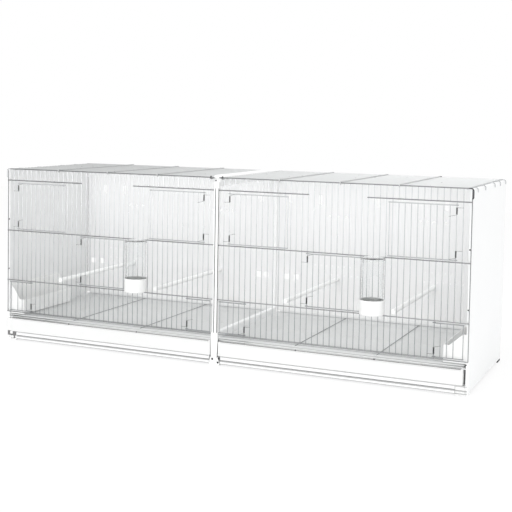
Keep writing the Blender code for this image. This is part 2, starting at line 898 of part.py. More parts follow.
# Clear tube with a capped top and an arch cut toward the cabin
def drinker_tube(section):
    bottom = cup_bottom_z + cup_wall + fit_gap
    top = tube_top_z - bottom
    profile = [
        (0, top),
        (tube_cap_radius, top),
        (tube_cap_radius, top - tube_cap_height),
        (tube_radius, top - tube_cap_height),
        (tube_radius, 0),
        (tube_radius - tube_wall, 0),
        (tube_radius - tube_wall, top - tube_wall),
        (0, top - tube_wall),
    ]
    name = section["name"] + "_drinker_tube"
    place = (wire_x(section, section["drinker_wire"]), grid_y - drinker_lead, bottom)
    tube = turned(name, profile, turned_steps, clear_plastic, place)
    low = cup_bottom_z + cup_height + arch_bottom_rise
    spring_line = arch_top_z - arch_width / 2
    outline = [(-arch_width / 2, low), (arch_width / 2, low)]
    for step in range(arch_points + 1):
        turn = math.pi * step / arch_points
        outline.append((arch_width / 2 * math.cos(turn), spring_line + arch_width / 2 * math.sin(turn)))
    middle_y = grid_y - drinker_lead + tube_radius
    cutter = flat_outline("arch", [outline], tube_radius, None, (place[0], middle_y, 0), facing_front)
    combine(tube, as_mesh(cutter), "DIFFERENCE")


# Seed trough against the outer wall, tall there and low toward the cabin
def seed_trough(section):
    outward = section["outer_side"]
    outer = panel_inner_x - fit_gap
    inner = outer - trough_width
    bottom = grate_top_z + fit_gap
    outline = [
        (outer, bottom),
        (outer, trough_high_z),
        (outer - section["trough_shoulder"], trough_high_z),
        (inner + trough_step, trough_low_z),
        (inner, trough_low_z),
        (inner, bottom),
    ]
    outline = [(outward * across, up) for across, up in outline]
    name = section["name"] + "_seed_trough"
    place = (0, grid_y + trough_front + trough_length / 2, 0)
    trough = as_mesh(flat_outline(name, [outline], trough_length, white_plastic, place, facing_front))
    sides = sorted((outward * (inner + trough_wall), outward * (outer - trough_wall)))
    low = (sides[0], grid_y + trough_front + trough_wall, bottom + trough_wall)
    high = (sides[1], grid_y + trough_front + trough_length - trough_wall, trough_high_z + cut_overrun)
    combine(trough, box("trough_hollow", low, high, None), "DIFFERENCE")


for section in sections:
    front_grid(section)
    spring_points = cabin_doors(section)
    roof_grid(section)
    end_panel(section["name"] + "_end_panel", section["outer_side"])
    back_panel(section)
    back_base_rail(section)
    front_base_rail(section)
    tray(section)
    grate(section)
    for number, wire in enumerate(section["perch_wires"], 1):
        perch(section, number, wire)
    drinker_cup(section)
    drinker_tube(section)
    seed_trough(section)
    rear_foot_front = panel_rear - rear_notch_depth - foot_depth
    corner_foot(section["name"] + "_front_foot", section["outer_side"], panel_front_lead)
    corner_foot(section["name"] + "_rear_foot", section["outer_side"], rear_foot_front)

centre_base_rail()
centre_frame()
centre_foot("centre_front_foot", -post_proud)
centre_foot("centre_rear_foot", back_front - fit_gap - foot_depth)

print(f"Least gap between spring turns: {spring_turn_gap(spring_points) * 1000:.2f} mm")
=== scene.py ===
import math

import bmesh
import bpy
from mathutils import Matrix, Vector


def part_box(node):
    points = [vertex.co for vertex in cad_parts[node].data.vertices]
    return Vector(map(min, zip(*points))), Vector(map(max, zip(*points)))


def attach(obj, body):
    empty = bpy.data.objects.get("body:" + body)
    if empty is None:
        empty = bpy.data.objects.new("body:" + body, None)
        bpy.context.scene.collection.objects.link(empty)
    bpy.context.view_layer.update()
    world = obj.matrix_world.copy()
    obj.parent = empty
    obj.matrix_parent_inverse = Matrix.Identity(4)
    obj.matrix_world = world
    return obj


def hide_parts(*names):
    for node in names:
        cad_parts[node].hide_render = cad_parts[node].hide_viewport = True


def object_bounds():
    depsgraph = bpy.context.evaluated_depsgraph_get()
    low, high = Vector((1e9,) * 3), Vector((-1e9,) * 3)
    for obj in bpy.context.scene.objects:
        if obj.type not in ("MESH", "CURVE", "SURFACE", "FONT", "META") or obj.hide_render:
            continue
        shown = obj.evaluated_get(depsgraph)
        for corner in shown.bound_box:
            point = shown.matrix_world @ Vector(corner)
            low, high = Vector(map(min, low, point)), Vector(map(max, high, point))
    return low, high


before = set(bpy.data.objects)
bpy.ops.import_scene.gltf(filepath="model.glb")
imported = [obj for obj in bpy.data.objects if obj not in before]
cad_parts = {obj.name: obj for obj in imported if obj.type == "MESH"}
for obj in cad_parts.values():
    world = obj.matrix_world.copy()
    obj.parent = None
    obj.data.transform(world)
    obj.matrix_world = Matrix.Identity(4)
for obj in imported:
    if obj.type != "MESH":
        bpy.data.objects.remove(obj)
cadBounds = [list(corner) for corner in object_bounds()]
print("The packed cage is in")

# The cage stands with its front toward -Y. All lengths are in metres.
gridY = sum(corner.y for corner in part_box("left_front_grid")) / 2
floorZ = cadBounds[0][2]
cabins = (
    {"name": "left", "startX": -0.594, "gaps": 43, "outward": -1},
    {"name": "right", "startX": 0.006, "gaps": 42, "outward": 1},
)
cabinWidth = 0.588
for cabin in cabins:
    cabin["pitch"] = cabinWidth / cabin["gaps"]

# Heights of the cross rods of a front
rodHeights = {"sill": 0.0750, "feeder": 0.1583, "cabin": 0.2882, "lintel": 0.4191, "top": 0.4487}


class Level:
    # a value in a node tree, which can be written in sums
    def __init__(self, wiring, socket):
        self.wiring = wiring
        self.socket = socket

    def joined(self, operation, first, second):
        return self.wiring.add("ShaderNodeMath", {"operation": operation}, {0: first, 1: second})

    def __add__(self, other):
        return self.joined("ADD", self, other)

    def __radd__(self, other):
        return self.joined("ADD", other, self)

    def __sub__(self, other):
        return self.joined("SUBTRACT", self, other)

    def __rsub__(self, other):
        return self.joined("SUBTRACT", other, self)

    def __mul__(self, other):
        return self.joined("MULTIPLY", self, other)

    def __rmul__(self, other):
        return self.joined("MULTIPLY", other, self)


class Wiring:
    # a node tree and the one way to add a node to it
    def __init__(self, tree):
        self.nodes = tree.nodes
        self.links = tree.links

    def add(self, kind, settings, inputs, output=0):
        node = self.nodes.new(kind)
        for label, value in settings.items():
            setattr(node, label, value)
        for label, value in inputs.items():
            self.feed(node.inputs[label], value)
        return Level(self, node.outputs[output])

    def feed(self, socket, value):
        if isinstance(value, Level):
            self.links.new(value.socket, socket)
        else:
            socket.default_value = value


class Finish(Wiring):
    # one material: its constants go on the shader, and its pattern follows object coordinates
    def __init__(self, name, **constants):
        self.material = bpy.data.materials.new(name)
        self.material.use_nodes = True
        super().__init__(self.material.node_tree)
        self.shader = self.nodes["Principled BSDF"]
        for label, value in constants.items():
            self.shader.inputs[label.replace("_", " ")].default_value = value
        self.place = self.add("ShaderNodeTexCoord", {}, {}, "Object")

    def noise(self, scale, detail):
        return self.add("ShaderNodeTexNoise", {}, {"Vector": self.place, "Scale": scale, "Detail": detail}, "Fac")

    # rises from 0 at start to 1 at end, along one axis
    def rise(self, axis, start, end):
        place = self.add("ShaderNodeSeparateXYZ", {}, {"Vector": self.place}, axis)
        return self.add("ShaderNodeMapRange", {}, {"Value": place, "From Min": start, "From Max": end})

    # sockets 6 and 7 take the two colours, and output 2 gives the mixed one
    def mixed(self, share, first, second):
        settings = {"data_type": "RGBA"}
        return self.add("ShaderNodeMix", settings, {"Factor": share, 6: (*first, 1), 7: (*second, 1)}, 2)

    def color(self, value):
        self.feed(self.shader.inputs["Base Color"], value)

    def roughness(self, value):
        self.feed(self.shader.inputs["Roughness"], value)

    def bump(self, height, distance, strength):
        inputs = {"Height": height, "Distance": distance, "Strength": strength}
        self.feed(self.shader.inputs["Normal"], self.add("ShaderNodeBump", {}, inputs))


# Drawn wire, whose colour goes from low to high along an axis: painted reflection and shade, while the cloud and
# the drawn bump are the wire's own
def drawnWire(name, low, high, metallic=1.0, axis="Z", start=0.12, end=0.36):
    finish = Finish(name, Metallic=metallic, Specular_IOR_Level=0.3, Specular_Tint=(0.6, 0.6, 0.6, 1))
    cloud = finish.noise(60.0, 3.0)
    drawn = finish.noise(900.0, 1.0)
    # painted reflection: the colour follows the axis
    finish.color(finish.mixed(finish.rise(axis, start, end) * 0.75 + cloud * 0.25, low, high))
    finish.roughness(0.22 + 0.18 * cloud)
    finish.bump(drawn, 0.00005, 0.3)
    return finish.material


def darkSteel():
    finish = Finish("darkSteel", Metallic=0.6)
    cloud = finish.noise(400.0, 2.0)
    finish.color(finish.mixed(cloud, (0.030, 0.030, 0.032), (0.075, 0.075, 0.08)))
    finish.roughness(0.36 + 0.2 * cloud)
    finish.bump(cloud, 0.00005, 0.4)
    return finish.material


def greyZinc():
    finish = Finish("greyZinc", Metallic=0.45)
    spangle = finish.noise(220.0, 3.0)
    finish.color(finish.mixed(spangle, (0.76, 0.77, 0.77), (0.90, 0.91, 0.91)))
    finish.roughness(0.42 + 0.2 * spangle)
    finish.bump(spangle, 0.0001, 0.3)
    return finish.material


def mouldedPanel(name, low, high):
    finish = Finish(name, Specular_IOR_Level=0.4)
    patch = finish.noise(7.0, 3.0)
    grain = finish.noise(2600.0, 2.0)
    finish.color(finish.mixed(patch, (low, low + 0.008, low + 0.012), (high, high + 0.005, high + 0.005)))
    finish.roughness(0.40 + 0.12 * patch)
    finish.bump(grain, 0.00008, 0.4)
    return finish.material


# The ribbed back sheets, palest at the foot: painted light that lifts the shade low down. The colour also follows
# the ribs, painted shade of their relief; the patches are the sheet's own tone
def ribbedBack():
    finish = Finish("ribbedBack", Specular_IOR_Level=0.4)
    patch = finish.noise(6.0, 3.0)
    settings = {"wave_type": "BANDS", "bands_direction": "X", "wave_profile": "SIN"}
    ribs = finish.add("ShaderNodeTexWave", settings, {"Vector": finish.place, "Scale": 78.0}, "Fac")
    grain = finish.noise(2200.0, 2.0)
    # painted light towards the foot and painted shade along the ribs
    share = patch * 0.2 + ribs * 0.2 + (1 - finish.rise("Z", 0.10, 0.22)) * 0.6
    finish.color(finish.mixed(share, (0.88, 0.885, 0.89), (0.98, 0.98, 0.98)))
    finish.roughness(0.42 + 0.1 * patch)
    finish.bump(ribs + grain * 0.08, 0.0006, 0.8)
    return finish.material


def glossyWhite(name, low, high):
    finish = Finish(name, Specular_IOR_Level=0.5)
    patch = finish.noise(18.0, 2.0)
    scuff = finish.noise(700.0, 3.0)
    finish.color(finish.mixed(patch, (low, low + 0.005, low), (high, high + 0.005, high)))
    finish.roughness(0.26 + 0.14 * scuff)
    finish.bump(scuff, 0.00004, 0.3)
    return finish.material


def clearStyrene():
    finish = Finish("clearStyrene", Transmission_Weight=1.0, IOR=1.25, Specular_IOR_Level=0.5)
    haze = finish.noise(45.0, 3.0)
    finish.color(finish.mixed(haze, (0.96, 0.97, 0.97), (0.99, 0.99, 0.99)))
    finish.roughness(0.02 + 0.05 * haze)
    return finish.material


def blackPlastic():
    finish = Finish("blackPlastic", Specular_IOR_Level=0.4)
    grain = finish.noise(1500.0, 2.0)
    finish.color(finish.mixed(grain, (0.012, 0.012, 0.013), (0.035, 0.035, 0.037)))
    finish.roughness(0.42 + 0.16 * grain)
    finish.bump(grain, 0.00006, 0.4)
    return finish.material


# Painted shade for shadowed joints, gaps and hollows between pale mouldings, each given its own strip
def shadowSeam(name, dark, light):
    finish = Finish(name, Specular_IOR_Level=0.2)
    grain = finish.noise(900.0, 2.0)
    finish.color(finish.mixed(grain, (dark, dark, dark), (light, light, light)))
    finish.roughness(0.6 + 0.2 * grain)
    finish.bump(grain, 0.00005, 0.3)
    return finish.material


# Painted reflection and shade on the wires: uprights and door wires paler higher up, cross rods darker higher up,
# roof wires paler towards the right
chrome = drawnWire("uprightChrome", (0.30, 0.31, 0.32), (0.66, 0.67, 0.68))
doorChrome = drawnWire("doorChrome", (0.34, 0.35, 0.36), (0.58, 0.59, 0.60))
rodChrome = drawnWire("rodChrome", (0.34, 0.345, 0.35), (0.20, 0.205, 0.21))
roofChrome = drawnWire("roofChrome", (0.50, 0.51, 0.51), (0.70, 0.71, 0.71), 0.55, "X", -0.4, 0.5)
springFinish = darkSteel()
zinc = greyZinc()
panelWhite = mouldedPanel("panelWhite", 0.82, 0.855)
frameWhite = mouldedPanel("frameWhite", 0.91, 0.94)
backWhite = ribbedBack()
fittingWhite = glossyWhite("fittingWhite", 0.86, 0.895)
trayWhite = glossyWhite("trayWhite", 0.745, 0.775)
cupWhite = glossyWhite("cupWhite", 0.775, 0.805)
perchWhite = glossyWhite("perchWhite", 0.94, 0.965)
tubeClear = clearStyrene()
footBlack = blackPlastic()
# painted shade levels for gaps, grooves, the foot opening and the tray lip
seamDark = shadowSeam("seamDark", 0.06, 0.10)
footGrey = shadowSeam("footGrey", 0.16, 0.22)
seamGrey = shadowSeam("seamGrey", 0.36, 0.44)
seamSoft = shadowSeam("seamSoft", 0.50, 0.58)
lipGrey = shadowSeam("lipGrey", 0.64, 0.72)
print("Finishes are mixed")


def deselect():
    bpy.ops.object.select_all(action="DESELECT")


def settle():
    bpy.ops.object.transform_apply(location=True, rotation=True, scale=True)
    return bpy.context.object


def newCylinder(start, end, radius, sides):
    start, end = Vector(start), Vector(end)
    along = end - start
    turn = along.to_track_quat("Z", "Y").to_euler()
    deselect()
    bpy.ops.mesh.primitive_cylinder_add(
        vertices=sides, radius=radius, depth=along.length, location=(start + end) / 2, rotation=turn
    )
    return settle()


def newBlock(low, high):
    low, high = Vector(low), Vector(high)
    deselect()
    bpy.ops.mesh.primitive_cube_add(size=1, location=(low + high) / 2, scale=high - low)
    return settle()


def newDisc(centre, direction, radius, sides):
    turn = Vector(direction).to_track_quat("Z", "Y").to_euler()
    deselect()
    bpy.ops.mesh.primitive_circle_add(
        vertices=sides, radius=radius, fill_type="NGON", location=centre, rotation=turn
    )
    return settle()


def openEdit():
    bpy.ops.object.mode_set(mode="EDIT")


def closeEdit():
    bpy.ops.object.mode_set(mode="OBJECT")
    return bpy.context.object


def pick(kind, elements, test):
    bpy.ops.mesh.select_mode(type=kind)
    bpy.ops.mesh.select_all(action="DESELECT")
    mesh = bpy.context.edit_object.data
    work = bmesh.from_edit_mesh(mesh)
    for element in getattr(work, elements):
        if test(element):
            element.select_set(True)
    bmesh.update_edit_mesh(mesh)


def pickFaces(test):
    pick("FACE", "faces", lambda face: test(face.calc_center_median(), face.normal))


def pickEdges(test):
    pick("EDGE", "edges", lambda edge: test(edge.verts[0].co, edge.verts[1].co))


def pickPoints(test):
    pick("VERT", "verts", lambda point: test(point.co))


# A test for the faces that look down or up
def facing(upward):
    return lambda middle, normal: normal.z * upward > 0.9


def pickAll():
    bpy.ops.mesh.select_all(action="SELECT")


def pull(shift):
    bpy.ops.mesh.extrude_region_move(TRANSFORM_OT_translate={"value": shift})


def cutCorners(width, segments):
    bpy.ops.mesh.bevel(offset=width, segments=segments, affect="EDGES")


def faceOutward():
    pickAll()
    bpy.ops.mesh.normals_make_consistent(inside=False)


def applyModifier(kind, **settings):
    piece = bpy.context.object
    bpy.ops.object.modifier_add(type=kind)
    modifier = piece.modifiers[-1]
    for label, value in settings.items():
        setattr(modifier, label, value)
    bpy.ops.object.modifier_apply(modifier=modifier.name)
    return piece


# Edges that turn by more than the angle are rounded, and the same ones stay sharp in smooth shading
edgeDegrees = 40


def roundEdges(width, segments, degrees=edgeDegrees):
    return applyModifier(
        "BEVEL", width=width, segments=segments, limit_method="ANGLE", angle_limit=math.radians(degrees)
    )


def takeUp(piece):
    deselect()
    piece.select_set(True)
    bpy.context.view_layer.objects.active = piece
    return piece


def joinUp(parts):
    takeUp(parts[0])
    for part in parts[1:]:
        part.select_set(True)
    if len(parts) > 1:
        bpy.ops.object.join()
    return bpy.context.object


def copyTo(piece, shift):
    twin = piece.copy()
    twin.data = piece.data.copy()
    bpy.context.scene.collection.objects.link(twin)
    takeUp(twin)
    twin.location = shift
    return settle()


wireEnd = 0.45  # share of a wire's radius that is taken off at its ends


# A straight wire with softened ends, repeated in a row
def wireRow(start, end, radius, sides=8, count=1, step=(0, 0, 0)):
    along = (Vector(end) - Vector(start)).normalized()
    wire = newCylinder(start, end, radius, sides)
    openEdit()
    pickFaces(lambda middle, normal: abs(normal.dot(along)) > 0.99)
    cutCorners(radius * wireEnd, 1)
    closeEdit()
    if count > 1:
        applyModifier(
            "ARRAY", count=count, use_relative_offset=False, use_constant_offset=True,
            constant_offset_displace=step,
        )
    return wire


# A wire grown from a disc by ("run", vector) and ("turn", centre, axis, degrees, steps) moves
def bentWire(start, direction, radius, moves, sides=8):
    newDisc(start, direction, radius, sides)
    openEdit()
    bpy.ops.mesh.select_mode(type="FACE")
    pickAll()
    for kind, *move in moves:
        if kind == "run":
            pull(*move)
        else:
            centre, axis, degrees, steps = move
            bpy.ops.mesh.spin(steps=steps, angle=-math.radians(degrees), center=centre, axis=axis)
    pickAll()
    bpy.ops.mesh.remove_doubles(threshold=0.000005)
    faceOutward()
    return closeEdit()


# A round piece grown from a disc along an axis, by (distance, radius) steps
def turnedPiece(start, axis, profile, sides):
    start, axis = Vector(start), Vector(axis)
    before, width = profile[0]
    newDisc(start + axis * before, axis, width, sides)
    openEdit()
    bpy.ops.mesh.select_mode(type="FACE")
    pickAll()
    for along, radius in profile[1:]:
        pull(axis * (along - before))
        share = radius / width
        across = [1 if abs(part) > 0.5 else share for part in axis]
        bpy.ops.transform.resize(value=across, center_override=start + axis * along)
        before, width = along, radius
    faceOutward()
    return closeEdit()


def cutOut(piece, cutter):
    takeUp(piece)
    applyModifier("BOOLEAN", operation="DIFFERENCE", solver="EXACT", object=cutter)
    bpy.data.objects.remove(cutter, do_unlink=True)
    return piece


def smooth(piece):
    takeUp(piece)
    bpy.ops.object.shade_smooth_by_angle(angle=math.radians(edgeDegrees))
    # the large flat faces keep flat normals beside rounded edges
    return applyModifier("WEIGHTED_NORMAL", keep_sharp=True)


def handOver(piece, name, material, body, slotName, *nodes):
    smooth(piece)
    piece.name = name
    piece.data.name = name
    piece.data.materials.clear()
    piece.data.materials.append(material)
    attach(piece, body)
    if nodes:
        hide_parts(*nodes)
    return piece


# A node's own shape, merged, with its flat faces whole again and its edges rounded
def softened(node, width):
    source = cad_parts[node]
    piece = bpy.data.objects.new(node + "_soft", source.data.copy())
    bpy.context.scene.collection.objects.link(piece)
    takeUp(piece)
    openEdit()
    pickAll()
    bpy.ops.mesh.remove_doubles(threshold=0.00001)
    bpy.ops.mesh.dissolve_limited(angle_limit=math.radians(1))
    closeEdit()
    return roundEdges(width, 2) if width else piece


view = {
    "place": (1.0497, -2.4578, 0.5980),
    "turn": (86.8423, -0.8431, 25.5769),
    "lens": 74.872,
    "sensor": 36,
    "shiftX": 0.1075,
    "shiftY": -0.1624,
}
bpy.ops.object.camera_add(location=view["place"], rotation=[math.radians(turn) for turn in view["turn"]])
camera = bpy.context.object
camera.data.lens = view["lens"]
camera.data.sensor_width = view["sensor"]
camera.data.shift_x = view["shiftX"]
camera.data.shift_y = view["shiftY"]
bpy.context.scene.camera = camera
bpy.context.scene.view_settings.view_transform = "Standard"

studio = {
    "floorSize": 9.0,
    "floorCuts": 6,
    "floorGlow": 0.80,
    "skyLevel": 0.96,
    # each lamp's name, place, aim, size and power
    "lamps": (
        ("key", (0.5, -4.2, 0.62), (0, 0, 0.22), (4.0, 0.9), 42.0),
        ("fill", (3.8, 0.3, 0.9), (0.5, 0.1, 0.2), (2.4, 1.6), 11.0),
        ("top", (0.0, -1.2, 2.8), (0, 0.1, 0.2), (3.0, 1.8), 25.0),
    ),
}


def plainFloor():
    finish = Finish("plainFloor", Roughness=0.75)
    speck = finish.noise(3.0, 2.0)
    finish.color(finish.mixed(speck, (0.93, 0.93, 0.93), (0.96, 0.96, 0.96)))
    glow = finish.add("ShaderNodeEmission", {}, {"Strength": 1.0})
    seen = finish.add("ShaderNodeLightPath", {}, {}, "Is Camera Ray")
    lit = Level(finish, finish.shader.outputs[0])
    surface = finish.add("ShaderNodeMixShader", {}, {0: seen * studio["floorGlow"], 1: lit, 2: glow})
    finish.feed(finish.nodes["Material Output"].inputs["Surface"], surface)
    return finish.material


deselect()
bpy.ops.mesh.primitive_plane_add(size=studio["floorSize"], location=(0, 0, floorZ))
floor = settle()
openEdit()
bpy.ops.mesh.subdivide(number_cuts=studio["floorCuts"])
closeEdit()
floor.name = "studio_floor"
floor.data.materials.append(plainFloor())

world = bpy.data.worlds.new("softSky")
bpy.context.scene.world = world
world.use_nodes = True
sky = Wiring(world.node_tree)
daylight = sky.nodes["Background"]
sky.feed(daylight.inputs["Color"], (1, 1, 1, 1))
sky.feed(daylight.inputs["Strength"], studio["skyLevel"])
plainWhite = sky.add("ShaderNodeBackground", {}, {"Color": (1, 1, 1, 1)})
seen = sky.add("ShaderNodeLightPath", {}, {}, "Is Camera Ray")
for kind in ("Is Glossy Ray", "Is Transmission Ray"):
    ray = sky.add("ShaderNodeLightPath", {}, {}, kind)
    seen = sky.add("ShaderNodeMath", {"operation": "MAXIMUM"}, {0: seen, 1: ray})
backdrop = sky.add("ShaderNodeMixShader", {}, {0: seen, 1: Level(sky, daylight.outputs[0]), 2: plainWhite})
sky.feed(sky.nodes["World Output"].inputs["Surface"], backdrop)


def softLamp(name, place, aim, size, power):
    turn = (Vector(aim) - Vector(place)).to_track_quat("-Z", "Y").to_euler()
    bpy.ops.object.light_add(type="AREA", location=place, rotation=turn)
    lamp = bpy.context.object
    lamp.name = name
    lamp.data.shape = "RECTANGLE"
    lamp.data.size = size[0]
    lamp.data.size_y = size[1]
    lamp.data.energy = power


for lamp in studio["lamps"]:
    softLamp(*lamp)
print("Camera, floor and light are set")


frontWires = {
    "wireRadius": 0.0009,
    "rodRadius": 0.00125,
    "wireY": gridY + 0.0003,
    "rodY": gridY - 0.0014,
    "overrun": 0.0019,
    "ceiling": 0.4499,
    "outerTip": 0.0052,
    "innerTip": 0.0003,
    "topRodEnd": 0.5915,
    "border": {"x": 0.5984, "drop": 0.004},
    "feederHinge": 5,
    "nestHinge": 2,
    "nestLatch": 12,
    "lintelEnd": 16,
    "centreHinge": 16,
    "centreLatch": 25,
}
cornerHook = {"start": 0.5910, "reach": 0.5950, "bend": 0.0062, "drop": 0.0130, "curl": 0.003}


def wireX(cabin, count):
    return cabin["startX"] + count * cabin["pitch"]


# Stretches of one upright, between the cross rods that it is welded to
def uprightRuns(cabin, column):
    gaps = cabin["gaps"]
    near = min(column, gaps - column)
    runs = []
    low = "feeder" if near < frontWires["feederHinge"] else "sill"
    if frontWires["centreHinge"] < column < frontWires["centreLatch"]:
        runs.append((low, "feeder"))
        low = "cabin"
    if frontWires["nestHinge"] < near < frontWires["nestLatch"]:
        runs.append((low, "cabin"))
        low = "lintel"
    runs.append((low, "top"))
    return [run for run in runs if run[0] != run[1]]


def frontUprights(cabin):
    name, gaps = cabin["name"], cabin["gaps"]
    y, overrun = frontWires["wireY"], frontWires["overrun"]
    parts = []
    column = 1
    while column < gaps:
        last = column
        runs = uprightRuns(cabin, column)
        while last + 1 < gaps and uprightRuns(cabin, last + 1) == runs:
            last += 1
        for low, high in runs:
            x = wireX(cabin, column)
            foot, top = rodHeights[low] - overrun, min(rodHeights[high] + overrun, frontWires["ceiling"])
            parts.append(wireRow(
                (x, y, foot), (x, y, top), frontWires["wireRadius"], 8, last - column + 1, (cabin["pitch"], 0, 0)
            ))
        column = last + 1
    handOver(joinUp(parts), name + "_front_uprights", chrome, "cage", "chrome_wire", name + "_front_grid")


def frontRods(cabin):
    y, overrun = frontWires["rodY"], frontWires["overrun"]
    start, end = cabin["startX"], cabin["startX"] + cabinWidth
    if cabin["outward"] < 0:
        start, end = start - frontWires["outerTip"], end - frontWires["innerTip"]
    else:
        start, end = start + frontWires["innerTip"], end + frontWires["outerTip"]
    lintelEnd = frontWires["lintelEnd"]
    spans = [(rod, start, end) for rod in ("sill", "feeder", "cabin")]
    spans.append(("top", max(start, -frontWires["topRodEnd"]), min(end, frontWires["topRodEnd"])))
    spans.append(("lintel", start, wireX(cabin, lintelEnd) + overrun))
    spans.append(("lintel", wireX(cabin, cabin["gaps"] - lintelEnd) - overrun, end))
    parts = []
    for rod, near, far in spans:
        z = rodHeights[rod]
        parts.append(wireRow((near, y, z), (far, y, z), frontWires["rodRadius"], 10))
    border = frontWires["border"]
    x, top = cabin["outward"] * border["x"], rodHeights["top"] - border["drop"]
    parts.append(wireRow((x, gridY, rodHeights["sill"]), (x, gridY, top), frontWires["wireRadius"]))
    handOver(joinUp(parts), cabin["name"] + "_front_rods", rodChrome, "cage", "chrome_wire")


# The top rod turns down at the outer corner and curls in
def hookAtCorner(cabin):
    outward = cabin["outward"]
    start, reach, bend, drop = (cornerHook[part] for part in ("start", "reach", "bend", "drop"))
    y, z = frontWires["rodY"], rodHeights["top"]
    moves = (
        ("run", (outward * (reach - start), 0, 0)),
        ("turn", (outward * reach, y, z - bend), (0, 1, 0), outward * 90, 6),
        ("run", (0, 0, -drop)),
        ("turn", (outward * (reach + bend - cornerHook["curl"]), y, z - bend - drop), (0, 1, 0), outward * 90, 5),
    )
    wire = bentWire((outward * start, y, z), (outward, 0, 0), frontWires["rodRadius"], moves, 10)
    # the right hook's dark steel, where the left one is chrome, is painted shade
    finish = chrome if outward < 0 else springFinish
    handOver(wire, cabin["name"] + "_corner_hook", finish, "cage", "spring_steel")


for cabin in cabins:
    frontUprights(cabin)
    frontRods(cabin)
    hookAtCorner(cabin)
print("Wire fronts are up")


doorWires = {
    "rodY": gridY - 0.0027,
    "wireY": gridY - 0.00095,
    "clearance": 0.0045,
    "nestTopDrop": 0.0075,
    "overhang": 0.0020,
    "overrun": 0.0012,
    "loopDegrees": 300,
}
springWires = {
    "wireRadius": 0.0004,
    "legRadius": 0.00030,
    "coilRadius": 0.0014,
    "turns": 17,
    "pitch": 0.00086,
    "stepsPerTurn": 9,
    "length": 0.0150,
    "endClearance": 0.0040,
    "gridLeg": {"reach": 0.0146, "lead": 0.0012},
    "doorLeg": {"reach": 0.0165, "lead": 0.0024, "rise": 0.0042, "gap": 0.0008},
}


# Each door's hinge wire and side, with its width in whole gaps and a part of one, and its two rods' heights
def doorTable(cabin):
    gaps = cabin["gaps"]
    clear = doorWires["clearance"]
    nest = (10, 0.5, rodHeights["cabin"] + clear, rodHeights["lintel"] - doorWires["nestTopDrop"])
    centre = (9, 0.2, rodHeights["feeder"] + clear, rodHeights["cabin"] - clear)
    feeder = (4, 0.5, rodHeights["sill"] + clear, rodHeights["feeder"] - clear)
    return (
        ("nest_door_1", frontWires["nestHinge"], 1, nest),
        ("nest_door_2", gaps - frontWires["nestHinge"], -1, nest),
        ("centre_door", frontWires["centreHinge"], 1, centre),
        ("feeder_door_1", frontWires["feederHinge"], -1, feeder),
        ("feeder_door_2", gaps - frontWires["feederHinge"], 1, feeder),
    )


# One tight coil round the Z axis, from z 0 up
def springCoil():
    wire = springWires["wireRadius"]
    deselect()
    bpy.ops.mesh.primitive_circle_add(
        vertices=6, radius=wire, location=(0, -springWires["coilRadius"], 0), rotation=(0, math.pi / 2, 0)
    )
    settle()
    applyModifier(
        "SCREW", axis="Z", angle=2 * math.pi, iterations=springWires["turns"],
        screw_offset=springWires["pitch"], steps=springWires["stepsPerTurn"],
        render_steps=springWires["stepsPerTurn"], use_merge_vertices=False,
    )
    openEdit()
    pickAll()
    bpy.ops.mesh.remove_doubles(threshold=0.000002)
    pickAll()
    bpy.ops.mesh.fill_holes(sides=0)
    faceOutward()
    return closeEdit()


coilModel = springCoil()
coilHeight = springWires["turns"] * springWires["pitch"]


# A coil on the hinge wire with the leg that rests on the front, and the leg that presses on the door
def doorSpring(name, hinge, side, low):
    radius, gridLeg, doorLeg = springWires["legRadius"], springWires["gridLeg"], springWires["doorLeg"]
    legY = gridY - springWires["coilRadius"]
    coilLow = low + (springWires["length"] - coilHeight) / 2
    coil = copyTo(coilModel, (hinge, gridY, coilLow))
    gridLegZ, doorLegZ = coilLow, coilLow + coilHeight
    if side < 0:
        gridLegZ, doorLegZ = doorLegZ, gridLegZ
    end = (hinge - side * gridLeg["reach"], gridY - gridLeg["lead"], gridLegZ)
    leg = wireRow((hinge, legY, gridLegZ), end, radius, 6)
    handOver(joinUp([coil, leg]), name + "_coil", springFinish, "cage", "spring_steel", name)
    # the door leg clears the end of the coil, so it can turn with the door
    doorLegZ += side * doorLeg["gap"]
    end = (hinge + side * doorLeg["reach"], gridY - doorLeg["lead"], doorLegZ + side * doorLeg["rise"])
    return wireRow((hinge, legY, doorLegZ), end, radius, 6)


def wireDoor(cabin, door, hingeWire, side, size):
    count, share, low, high = size
    name = cabin["name"] + "_" + door
    hinge = wireX(cabin, hingeWire)
    pitch = side * cabin["pitch"]
    reach = side * (count + share) * cabin["pitch"]
    overhang = side * doorWires["overhang"]
    y, radius = doorWires["rodY"], frontWires["rodRadius"]
    parts = []
    for z in (low, high):
        moves = (
            ("run", (-reach - overhang, 0, 0)),
            ("turn", (hinge, gridY, z), (0, 0, side), doorWires["loopDegrees"], 9),
        )
        parts.append(bentWire((hinge + reach + overhang, y, z), (-side, 0, 0), radius, moves))
    bottom, top = low - doorWires["overrun"], high + doorWires["overrun"]
    y, wire = doorWires["wireY"], frontWires["wireRadius"]
    for x, row in ((hinge + pitch, count - 1), (hinge + reach, 1)):
        parts.append(wireRow((x, y, bottom), (x, y, top), wire, 8, row, (pitch, 0, 0)))
    handOver(joinUp(parts), name + "_wires", doorChrome, name, "chrome_wire", name)
    end = radius + springWires["endClearance"]
    legs = [doorSpring(name + "_lower_spring", hinge, side, low + end)]
    if "feeder" not in door:
        legs.append(doorSpring(name + "_upper_spring", hinge, side, high - end - springWires["length"]))
    handOver(joinUp(legs), name + "_spring_legs", springFinish, name, "spring_steel")


for cabin in cabins:
    for door, hingeWire, side, size in doorTable(cabin):
        wireDoor(cabin, door, hingeWire, side, size)
bpy.data.objects.remove(coilModel, do_unlink=True)
print("Doors hang on their wires")


